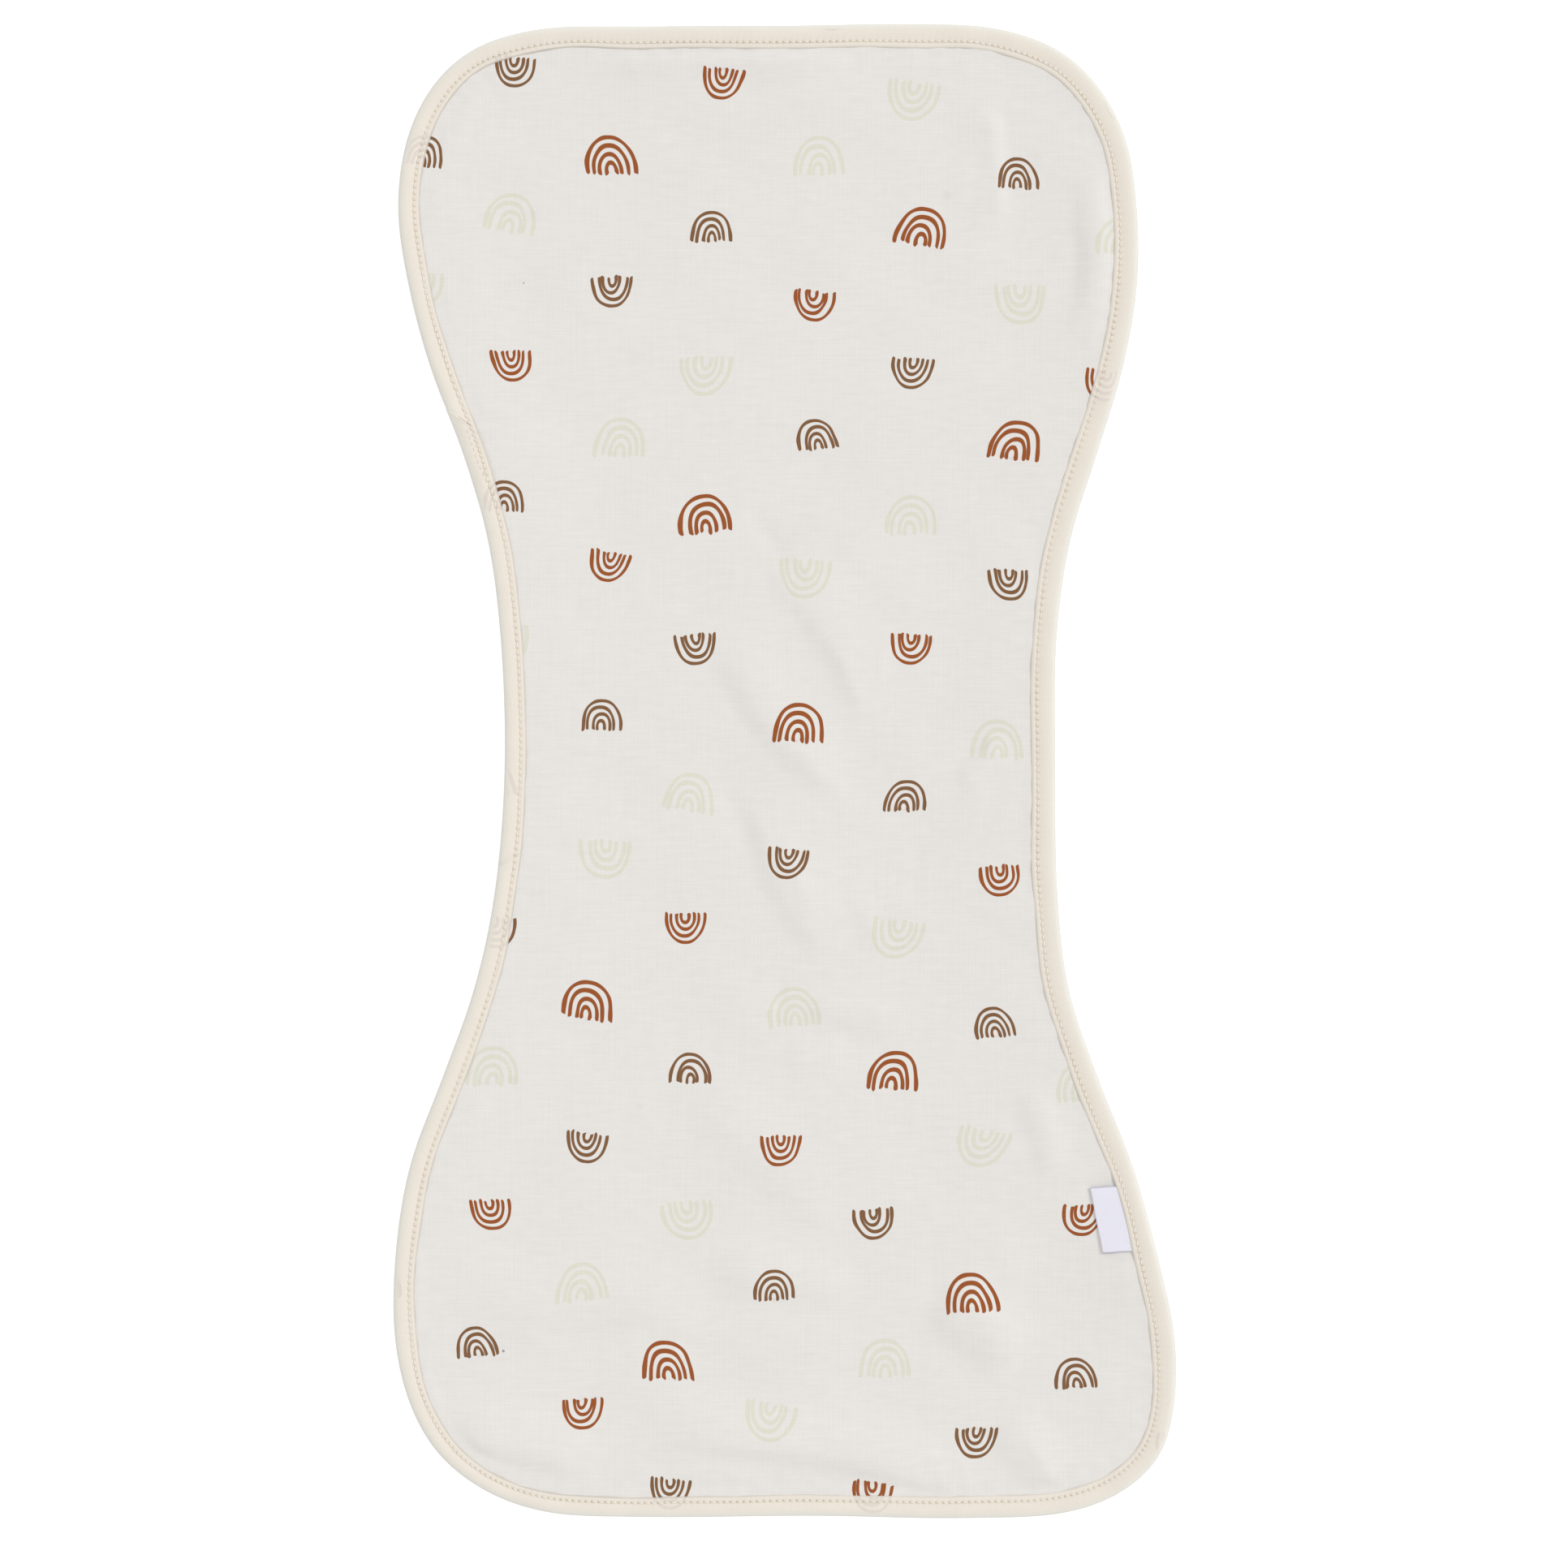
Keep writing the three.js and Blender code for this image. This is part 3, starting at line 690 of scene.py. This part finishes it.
# Height of the folds at places: each crest is a curve with one bend, the height falls off it as a
# cosine bell whose reach differs on its two sides, and it eases out at both ends.
def foldHeight(x, y, rows):
    total = np.zeros(len(x))
    t = np.linspace(0, 1, crestSteps)[:, None]
    for *crestPlaces, height, rightSide, leftSide in rows:
        start, bend, end = (np.array(place, float) - middle for place in crestPlaces)
        crest = (1 - t) ** 2 * start + 2 * t * (1 - t) * bend + t**2 * end
        reach = max(rightSide, leftSide)
        low, high = crest.min(axis=0) - reach, crest.max(axis=0) + reach
        near = np.nonzero((x > low[0]) & (x < high[0]) & (y > low[1]) & (y < high[1]))[0]
        run = np.diff(crest, axis=0)
        toPlace = np.stack([x[near], y[near]], axis=1)[:, None, :] - crest[:-1]
        share = np.clip((toPlace * run).sum(axis=2) / (run**2).sum(axis=1), 0, 1)
        distance = np.linalg.norm(toPlace - share[..., None] * run, axis=2)
        nearest = distance.argmin(axis=1)
        pick = np.arange(len(near)), nearest
        turned = (run[:, 0] * toPlace[..., 1] - run[:, 1] * toPlace[..., 0])[pick]
        passed = (nearest + share[pick]) / len(run)
        ends = smoothStep(0, foldEase, passed) * smoothStep(1, 1 - foldEase, passed)
        side = np.where(turned < 0, rightSide, leftSide)
        total[near] += height * ends * cosineBell(distance[pick], side)
    return total


# Slack in the knit: sines along random ways, of two lengths.
def slackHeight(x, y):
    random = np.random.default_rng(bodySizes.slackSeed)
    total = np.zeros(len(x))
    for length, height, count in bodySizes.slack:
        for _ in range(count):
            way, phase = random.uniform(0, 2 * np.pi, 2)
            turns = (x * np.cos(way) + y * np.sin(way)) / (length * random.uniform(0.7, 1.4))
            total += height / count**0.5 * np.sin(2 * np.pi * turns + phase)
    return total


# The body's layout: rings that follow the edge, and inside them a grid blended from the four stretches
# of the last ring, which is the sum of the two ruled surfaces less the bilinear one. Gives the places,
# their distances from the edge, the stations of the rings along it, and the faces.
def bodyLayout():
    size = bodySizes
    nAcross, nAlong = size.stepsAcross, size.stepsAlong
    corners = [alongNear(corner) for corner in size.corners]
    stations = np.concatenate([
        start + (end - start) % perimeter * np.arange(steps) / steps
        for start, end, steps in zip(corners, corners[1:] + corners[:1], (nAcross, nAlong) * 2)])
    count = len(stations)
    rings = [edgePlace(stations, np.full(count, depth)) for depth in size.ringDepths]
    onRing = np.arange(count + 1) % count
    turns = np.cumsum([0, nAcross, nAlong, nAcross, nAlong])
    lower, right, upper, left = (onRing[first:last + 1] for first, last in zip(turns, turns[1:]))
    upper, left = upper[::-1], left[::-1]
    inner = rings[-1]
    u = np.linspace(0, 1, nAcross + 1)[None, :, None]
    v = np.linspace(0, 1, nAlong + 1)[:, None, None]
    grid = (1 - v) * inner[lower][None] + v * inner[upper][None]
    grid = grid + (1 - u) * inner[left][:, None] + u * inner[right][:, None]
    grid = grid - (1 - v) * ((1 - u) * inner[lower[0]] + u * inner[lower[-1]])
    grid = grid - v * ((1 - u) * inner[upper[0]] + u * inner[upper[-1]])
    places = np.vstack([*rings, grid[1:-1, 1:-1].reshape(-1, 2)])
    onGrid = places[count * len(rings):]
    fromEdge = [np.linalg.norm(part[:, None] - edge[::size.searchStep], axis=2).min(axis=1)
                for part in np.array_split(onGrid, size.searchParts)]
    inward = np.concatenate([np.repeat(size.ringDepths, count), *fromEdge])
    lastRing = count * (len(rings) - 1)
    node = np.zeros((nAlong + 1, nAcross + 1), int)
    node[1:-1, 1:-1] = count * len(rings) + np.arange((nAlong - 1) * (nAcross - 1)).reshape(nAlong - 1, -1)
    node[0], node[-1], node[:, 0], node[:, -1] = (lastRing + part for part in (lower, upper, left, right))
    bands = ringQuads(len(rings), count, closed=False)[:, [0, 3, 2, 1]]
    cells = np.stack([node[:-1, :-1], node[:-1, 1:], node[1:, 1:], node[1:, :-1]], axis=2).reshape(-1, 4)
    return places, inward, stations, np.vstack([bands, cells])


# The body: the underside repeats the face's layout, and a rim inside the binding joins them. Its
# puckers are waves along the edge whose phase and height wander.
def makeClothBody():
    size = bodySizes
    places, inward, stations, face = bodyLayout()
    shift = len(places)
    here = np.arange(len(stations))
    after = (here + 1) % len(stations)
    rim = np.stack([here, here + shift, after + shift, after], axis=1)
    faces = np.vstack([face, face[:, ::-1] + shift, rim])
    x, y = places.T
    rise = size.rise * (1 - smoothStep(size.riseFrom, size.riseTo, inward))
    free = smoothStep(size.riseFrom, size.foldsTo, inward)
    under = edgeLift(x, y) + rise + free * foldHeight(x, y, mainFolds)
    fine = free * (foldHeight(x, y, fineFolds) + slackHeight(x, y))
    along = np.tile(stations, len(size.ringDepths))
    gathered = cosineBell(inward[:len(along)] - size.puckerPlace, size.puckerReach)
    phase = wander(along, *size.puckerShift)
    pucker = np.sin(2 * np.pi * along / size.puckerLength + phase)
    varies = 1 - size.puckerVaries[0] + wander(along, *size.puckerVaries)
    fine[:len(along)] += size.puckerHeight * gathered * pucker * varies
    grip = size.snug * (1 - smoothStep(size.riseFrom, size.riseFrom + size.gripReach, inward))
    top = np.column_stack([places, under + size.thickness + grip + fine])
    bottom = np.column_stack([places, np.maximum(under + size.showsBelow * fine, 0)])
    faceMaterial = np.zeros(len(faces), int)
    faceMaterial[len(face):] = 1
    knits = [bodyKnit("printed knit", True), bodyKnit("plain knit", False)]
    return makePiece("clothBody", np.vstack([top, bottom]), faces, knits, faceMaterial)


lapSizes = Sizes(
    place=(-110.5, 373.6), length=22, ramp=12, growth=0.7, outward=0.2,
    outerGrowth=0.4,  # the share that the outer edge has,
    fullGrowth=(1.2, 3.6),  # and where inward the rest comes in
    halfStep=0.18,
    slant=11,  # its end lies diagonally, this much further along at the inner edge
    slantReach=20,
    lip=0.3,  # the rolled end stands this share prouder
    lipPlace=0.55, lipReach=0.75,
)
labelSizes = Sizes(
    corner=(103.4, 112.6),  # the upper end of its fold
    length=22.4, width=13.6, turn=-79.1,
    skew=0.13,  # its ends are cut this much off square
    bottom=3.1,
    layers=0.72,  # both layers together at the fold
    pressed=0.6,  # and where the strip holds them
    ribbon=0.24, level=0.32, droop=0.1,
    shoulder=(11.4, 16),  # the strip is lifted between these, from the label's middle
    lift=0.65, straightSteps=26, arcSteps=13, rows=45,
    upperFade=(0.3, 0.7),  # shares of the height
    gapeFade=(0.1, 0.7),  # shares of the width: it gapes at its fold
    gape=0.06,
    upperWave=(0.07, 2.6, 0.6),  # height, half waves and phase
    bothWave=(0.06, 1.7, 2), foldWave=(0.06, 3.1, 0), endWave=(0.05, 0.8),
    longer=0.15,  # the upper layer
)
labelTurn = math.radians(labelSizes.turn)
labelWay = np.array([math.cos(labelTurn), math.sin(labelTurn)])
labelInward = np.array([-labelWay[1], labelWay[0]])  # from its fold towards the strip
labelAlong = alongNear(np.array(labelSizes.corner) + labelWay * labelSizes.length / 2
                       + labelInward * labelSizes.width)
lapAlong = alongNear(lapSizes.place)
joinAlong = alongNear((-95, 224.5))

stitchCount = round(perimeter / 2.25)  # so that whole stitches of about 2.25 mm close the seam
stitch = perimeter / stitchCount
stripSizes = Sizes(
    width=7.2, stepsPerStitch=4,
    seam=5.45,  # how far inward the stitches run
    seamTop=3.68,  # height of the strip under them, on its face and below
    seamBelow=0.46,
    # inward, up, then the shares of the lap's growth inward and upward, and of the label's lift
    section=[
        (7.3, 0.34, 0, -1, 0), (6.6, 0.06, 0, -1, 0), (5.45, 0.38, 0, -1, 0),
        (2.4, 0.03, 0, -1, 0), (0.5, 0.45, -0.3, -0.6, 0), (0.08, 1.4, -0.6, -0.2, 0.1),
        (0, 2.2, -0.6, 0.1, 0.3), (0.14, 3.05, -0.5, 0.4, 0.6), (0.75, 3.85, -0.3, 0.8, 0.9),
        (2.1, 4.28, 0, 1, 1), (4.2, 4.06, 0, 1, 1), (5.45, 3.62, 0, 1, 1),
        (6.1, 3.7, 0, 1, 1), (6.8, 3.62, 0, 1, 1), (7.3, 3.32, 0, 1, 1), (7.45, 3.1, 0, 1, 1),
    ],
    slot=[(6.9, 3.12, 0, 0, 1), (1.4, 3.12, 0, 0, 1), (1.4, 0.9, 0, 0, 0), (6.9, 0.9, 0, 0, 0)],
    wider=0.5,  # than its section, on the middle line,
    widerRight=0.45,  # and this much more at the right and less at the left,
    narrowerBelow=0.75,  # and this much less at the lower end
    keptAtLabel=0.8,  # the share of that which goes at the label
    widenedFrom=(1.5, 7),  # its outer edge stays
    rightReach=90, belowFrom=(180, 250), labelReach=30,
    waver=(0.2, 45, 5),  # height, length and seed of how its inner edge wanders,
    waverFrom=(3.2, 7),
    swell=(0.09, 22, 6),  # and of how its height does
    dimple=0.15,  # at each needle hole
    dimpleReach=0.8, seamRidge=0.05, seamReach=1,
    drawn=0.05,  # at each stitch, beside the seam
    drawnReach=2.6, joinGroove=0.28, joinReach=0.6, joinSlope=0.75,
    joinBanks=(0.35, 0.9, 0.7),  # share of the groove's depth, place beside it, reach
    lapSteps=(2.4, 28),  # reach and number of the finer steps
    joinSteps=(3.5, 22), stepGap=0.1,
    crown=3.4,  # height from which the section is its face
    side=2.2, lastGirth=0.6,
)


# How much wider than its section the strip is: an even part, and one in proportion to the distance
# to the right, less one that rises smoothly towards the lower end; little of it at the label.
def stripWidening(along):
    size = stripSizes
    x, y = np.moveaxis(edgeAt(along), -1, 0)
    wider = size.wider + size.widerRight * np.clip(x / size.rightReach, -1, 1)
    wider = wider - size.narrowerBelow * smoothStep(*size.belowFrom, -y)
    return wider * (1 - size.keptAtLabel * cosineBell(pastPlace(along, labelAlong), size.labelReach))


# A place on the strip. Every value may be an array; growIn, growUp and overLabel are shares.
def stripPlace(along, inward, up, growIn, growUp, overLabel):
    size, lap = stripSizes, lapSizes
    past = pastPlace(along, lapAlong)
    growth = smoothStep(-lap.halfStep, lap.halfStep, past)
    growth = growth * (1 - smoothStep(lap.length, lap.length + lap.ramp, past))
    lip = lap.lip * cosineBell(past - lap.lipPlace, lap.lipReach)
    slant = lap.slant * cosineBell(past, lap.slantReach)
    inPlan = inward + growth * growIn * lap.outward
    inPlan = inPlan + stripWidening(along) * smoothStep(*size.widenedFrom, inward)
    inPlan = inPlan + wander(along, *size.waver) * smoothStep(*size.waverFrom, inward)
    flat = edgePlace(along + slant * (inward / size.width - 0.5), inPlan)
    raised = lap.growth * (growth + lip * (growUp > 0)) * growUp
    share = lap.outerGrowth + (1 - lap.outerGrowth) * smoothStep(*lap.fullGrowth, inward)
    raised = raised * np.where(growUp > 0, share, 1)
    shoulder = 1 - smoothStep(*labelSizes.shoulder, np.abs(pastPlace(along, labelAlong)))
    swell = wander(along, *size.swell) * np.maximum(growUp, 0)
    height = up + raised + swell + labelSizes.lift * shoulder * overLabel
    return np.concatenate([flat, (height + edgeLift(flat[..., 0], flat[..., 1]))[..., None]], axis=-1)


# Distances along the edge: even steps, four to a stitch, and finer ones at the lap's end and where
# the strip was joined.
def stripStations():
    size = stripSizes
    count = stitchCount * size.stepsPerStitch
    even = perimeter * np.arange(count) / count
    for place, (reach, steps) in ((lapAlong, size.lapSteps), (joinAlong, size.joinSteps)):
        even = even[np.abs(pastPlace(even, place)) > reach + size.stepGap]
        even = np.concatenate([even, (place + np.linspace(-reach, reach, steps)) % perimeter])
    return np.sort(even)


# The binding: its section carried along the edge. The section is a spline through its rows, closed by
# the slot that holds the body.
def makeBindingStrip():
    size = stripSizes
    along = stripStations()[:, None]
    section = np.vstack([splineThrough(size.section, 2, closed=False), size.slot])
    inward, up, growIn, growUp, overLabel = section.T[:, None, :]
    fromHole = np.abs((along + stitch / 2) % stitch - stitch / 2)
    fromSeam = inward - size.seam
    sunk = size.dimple * cosineBell(fromHole, size.dimpleReach) - size.seamRidge
    sunk = sunk * cosineBell(fromSeam, size.seamReach)
    drawn = size.drawn * np.cos(2 * np.pi * along / stitch) * cosineBell(fromSeam, size.drawnReach)
    joined = pastPlace(along, joinAlong) + (inward - size.width / 2) * size.joinSlope
    bank, bankPlace, bankReach = size.joinBanks
    banks = bank * cosineBell(np.abs(joined) - bankPlace, bankReach)
    groove = size.joinGroove * (cosineBell(joined, size.joinReach) - banks)
    up = up - (sunk + drawn + groove * (up > size.side)) * np.sign(growUp)
    vertices = stripPlace(along, inward, up, growIn, growUp, overLabel)
    vertices[..., 2] = np.maximum(vertices[..., 2], 0)
    count, rows = len(along), len(section)
    faces = ringQuads(count, rows, closed=True)
    girth = np.concatenate([[0], np.cumsum(np.hypot(*np.diff(section[:, :2], axis=0).T)), [0]])
    girth[-1] = girth[-2] + size.lastGirth
    upper = section[:, 1] > size.crown
    inmost = len(section) - len(size.slot) - 1
    seamGirth = np.interp(size.seam, section[upper, 0], girth[:-1][upper])
    ends = np.concatenate([along[:, 0], [along[0, 0] + perimeter]])
    uv = np.zeros((count, rows, 4, 2))
    uv[..., 0] = np.stack([ends[:-1], ends[1:], ends[1:], ends[:-1]], axis=1)[:, None, :]
    uv[..., 1] = np.stack([girth[:-1], girth[:-1], girth[1:], girth[1:]], axis=1)[None, :, :]
    knit = bindingKnit(seamGirth, girth[inmost])
    return makePiece("bindingStrip", vertices.reshape(-1, 3), faces, [knit], uv=uv.reshape(-1, 2))


threadSizes = Sizes(
    radius=0.23, rings=6, sides=6,
    arch=0.2,  # how high the middle of a stitch stands over its ends
    gap=0.1,  # the share of its length that a stitch leaves open at each end
    slant=0.2,  # how far a stitch's ends lie off the seam
    beside=0.5,  # the way across a stitch is taken over this
    endThinning=0.5, thinningPower=4,
    offTop=0.04,  # from the strip to the thread's middle, on its face,
    offBelow=0.06,  # on its underside
    offSecond=0.1,  # and in the second row
    secondRow=1.35,  # the seam's end is sewn over its start, this far outward of it
    secondStart=2.6, secondLength=25,
    secondClimb=0.2,  # for each millimetre outward
    merging=(0.45, 1),  # shares of its length: it runs into the first
)


# A row of stitches: each is a short tube bent as half a sine wave from one needle hole to the next,
# lying slightly across the seam, with its ends drawn in.
def stitchRow(starts, length, inward, up, growUp, overLabel, outward):
    size = threadSizes
    rings, sides = size.rings, size.sides
    t = np.linspace(0, 1, rings)[None, :]
    along = starts[:, None] + length * (size.gap + (1 - 2 * size.gap) * t)
    across = inward + size.slant * (1 - 2 * t) + 0 * along
    lying = up + outward * size.arch * np.sin(np.pi * t) + 0 * along
    centre = stripPlace(along, across, lying, 0, np.float64(growUp), overLabel)
    further = stripPlace(along, across + size.beside, lying, 0, np.float64(growUp), overLabel)
    beside, ahead = unit(further - centre), unit(np.gradient(centre, axis=1))
    over = np.cross(ahead, beside)
    radius = size.radius * (1 - size.endThinning * np.abs(2 * t - 1) ** size.thinningPower)
    angle = 2 * np.pi * np.arange(sides) / sides
    ring = np.cos(angle)[:, None] * beside[:, :, None, :] + np.sin(angle)[:, None] * over[:, :, None, :]
    vertices = centre[:, :, None, :] + radius[:, :, None, None] * ring
    cap = np.array([[0, 1, 2, 3], [0, 3, 4, 5]])  # of its six sides
    tube = np.vstack([ringQuads(rings, sides, closed=False), cap, cap[:, ::-1] + (rings - 1) * sides])
    faces = tube[None] + (np.arange(len(starts)) * rings * sides)[:, None, None]
    lengthwise = np.repeat(np.linspace(0, length, rings), sides)
    aroundIt = np.tile(np.arange(sides) / sides, rings)
    uv = np.stack([lengthwise, aroundIt], axis=1)[tube]
    uv = np.tile(uv.reshape(-1, 2), (len(starts), 1))
    return vertices.reshape(-1, 3), faces.reshape(-1, 4), uv


# The seam: a row on the strip's face, one below it, half a stitch further on, and the second row.
def makeSeamThread():
    size = threadSizes
    seam, top, below = (stripSizes[key] for key in ("seam", "seamTop", "seamBelow"))
    starts = stitch * np.arange(stitchCount)
    doubled = lapAlong + size.secondStart + stitch * np.arange(int(size.secondLength / stitch))
    merged = smoothStep(*size.merging, np.linspace(0, 1, len(doubled)))[:, None]
    drift = size.secondRow * (1 - merged)
    climb = top + size.offSecond + size.secondClimb * drift
    rows = [
        stitchRow(starts, stitch, seam, top + size.offTop, 1, 1, 1),
        stitchRow(starts + stitch / 2, stitch, seam, below - size.offBelow, -1, 0, -1),
        stitchRow(doubled, stitch, seam - drift, climb, 1, 1, 1),
    ]
    vertices, faces, uv = zip(*rows)
    shift = np.cumsum([0] + [len(part) for part in vertices[:-1]])
    faces = [part + start for part, start in zip(faces, shift)]
    finish = seamThreadFinish()
    return makePiece("seamThread", np.vstack(vertices), np.vstack(faces), [finish], uv=np.vstack(uv))


# A wave down the label: height times the sine of so many half turns, from a phase.
def labelWave(wave, down):
    height, halfTurns, phase = wave
    return height * np.sin(halfTurns * np.pi * down + phase)


# The label: one ribbon folded on itself. Its section is the line lower layer, half circle, upper
# layer, thickened to both sides; it is carried down the label's length and droops to its fold.
def makeLabelRibbon():
    size = labelSizes
    half = size.ribbon / 2
    radius = (size.layers - size.ribbon) / 2
    straight = np.linspace(size.width, radius, size.straightSteps)
    arc = np.linspace(-np.pi / 2, -3 * np.pi / 2, size.arcSteps)[1:-1]
    across = np.concatenate([straight, radius + radius * np.cos(arc), straight[::-1]])
    up = np.concatenate([0 * straight, radius + radius * np.sin(arc), 0 * straight + 2 * radius])
    ahead = np.stack([np.gradient(across), np.gradient(up)])
    ahead = ahead / np.hypot(*ahead)
    outer = np.stack([across + half * ahead[1], up - half * ahead[0]])
    inner = np.stack([across - half * ahead[1], up + half * ahead[0]])
    loop = np.hstack([outer, inner[:, ::-1]])
    points = loop.shape[1]
    down = np.linspace(0, 1, size.rows)[:, None]
    across, up = loop[0][None, :] + 0 * down, loop[1][None, :] + half + 0 * down
    isUpper = smoothStep(*size.upperFade, (up - half) / (2 * radius))
    gapeStart, gapeEnd = size.gapeFade
    gape = 1 - smoothStep(gapeStart * size.width, gapeEnd * size.width, across)
    up = up - isUpper * (1 - gape) * (size.layers - size.pressed)
    up = up + gape * isUpper * (size.gape + labelWave(size.upperWave, down))
    up = up + gape * labelWave(size.bothWave, down)
    endHeight, endTurn = size.endWave
    uneven = endHeight * np.sin(across * endTurn) + size.longer * (down - 0.5)
    lengthwise = down * size.length + isUpper * uneven
    fold = across + labelWave(size.foldWave, down) * gape
    corner = np.array(size.corner) - middle
    lengthwise = lengthwise + size.skew * fold
    flat = corner + lengthwise[..., None] * labelWay + fold[..., None] * labelInward
    droop = size.droop * smoothStep((1 - size.level) * size.width, 0, across)
    height = size.bottom + up - droop + edgeLift(flat[..., 0], flat[..., 1])
    vertices = np.concatenate([flat, height[..., None]], axis=-1)
    sides = ringQuads(len(down), points, closed=False)[:, [0, 3, 2, 1]]
    layer = np.arange(points // 2 - 1)
    cut = np.stack([layer, points - 1 - layer, points - 2 - layer, layer + 1], axis=1)
    lastCut = cut[:, ::-1] + (len(down) - 1) * points
    faces = np.vstack([sides, cut, lastCut])
    girth = np.concatenate([[0], np.cumsum(np.hypot(*np.diff(loop, axis=1)))])
    girth = np.minimum(girth, girth[-1] - girth)
    lengths = np.stack([np.repeat(down[:, 0] * size.length, points), np.tile(girth, len(down))], axis=1)
    uv = lengths[faces].reshape(-1, 2)
    return makePiece("labelRibbon", vertices.reshape(-1, 3), faces, [labelRibbonFinish()], uv=uv)


clothBody = makeClothBody()
print("body ready")
bindingStrip = makeBindingStrip()
seamThread = makeSeamThread()
print("binding and seam ready")
labelRibbon = makeLabelRibbon()
print("label ready")

pieces = [  # the piece, the node that it stands for, its finish
    (clothBody, "body_panel", "printed_knit"),
    (bindingStrip, "binding", "binding_knit"),
    (labelRibbon, "label", "label_ribbon"),
    (seamThread, None, "binding_knit"),
]
for piece, node, finish in pieces:
    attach(piece, "root")
    if node:
        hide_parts(node)
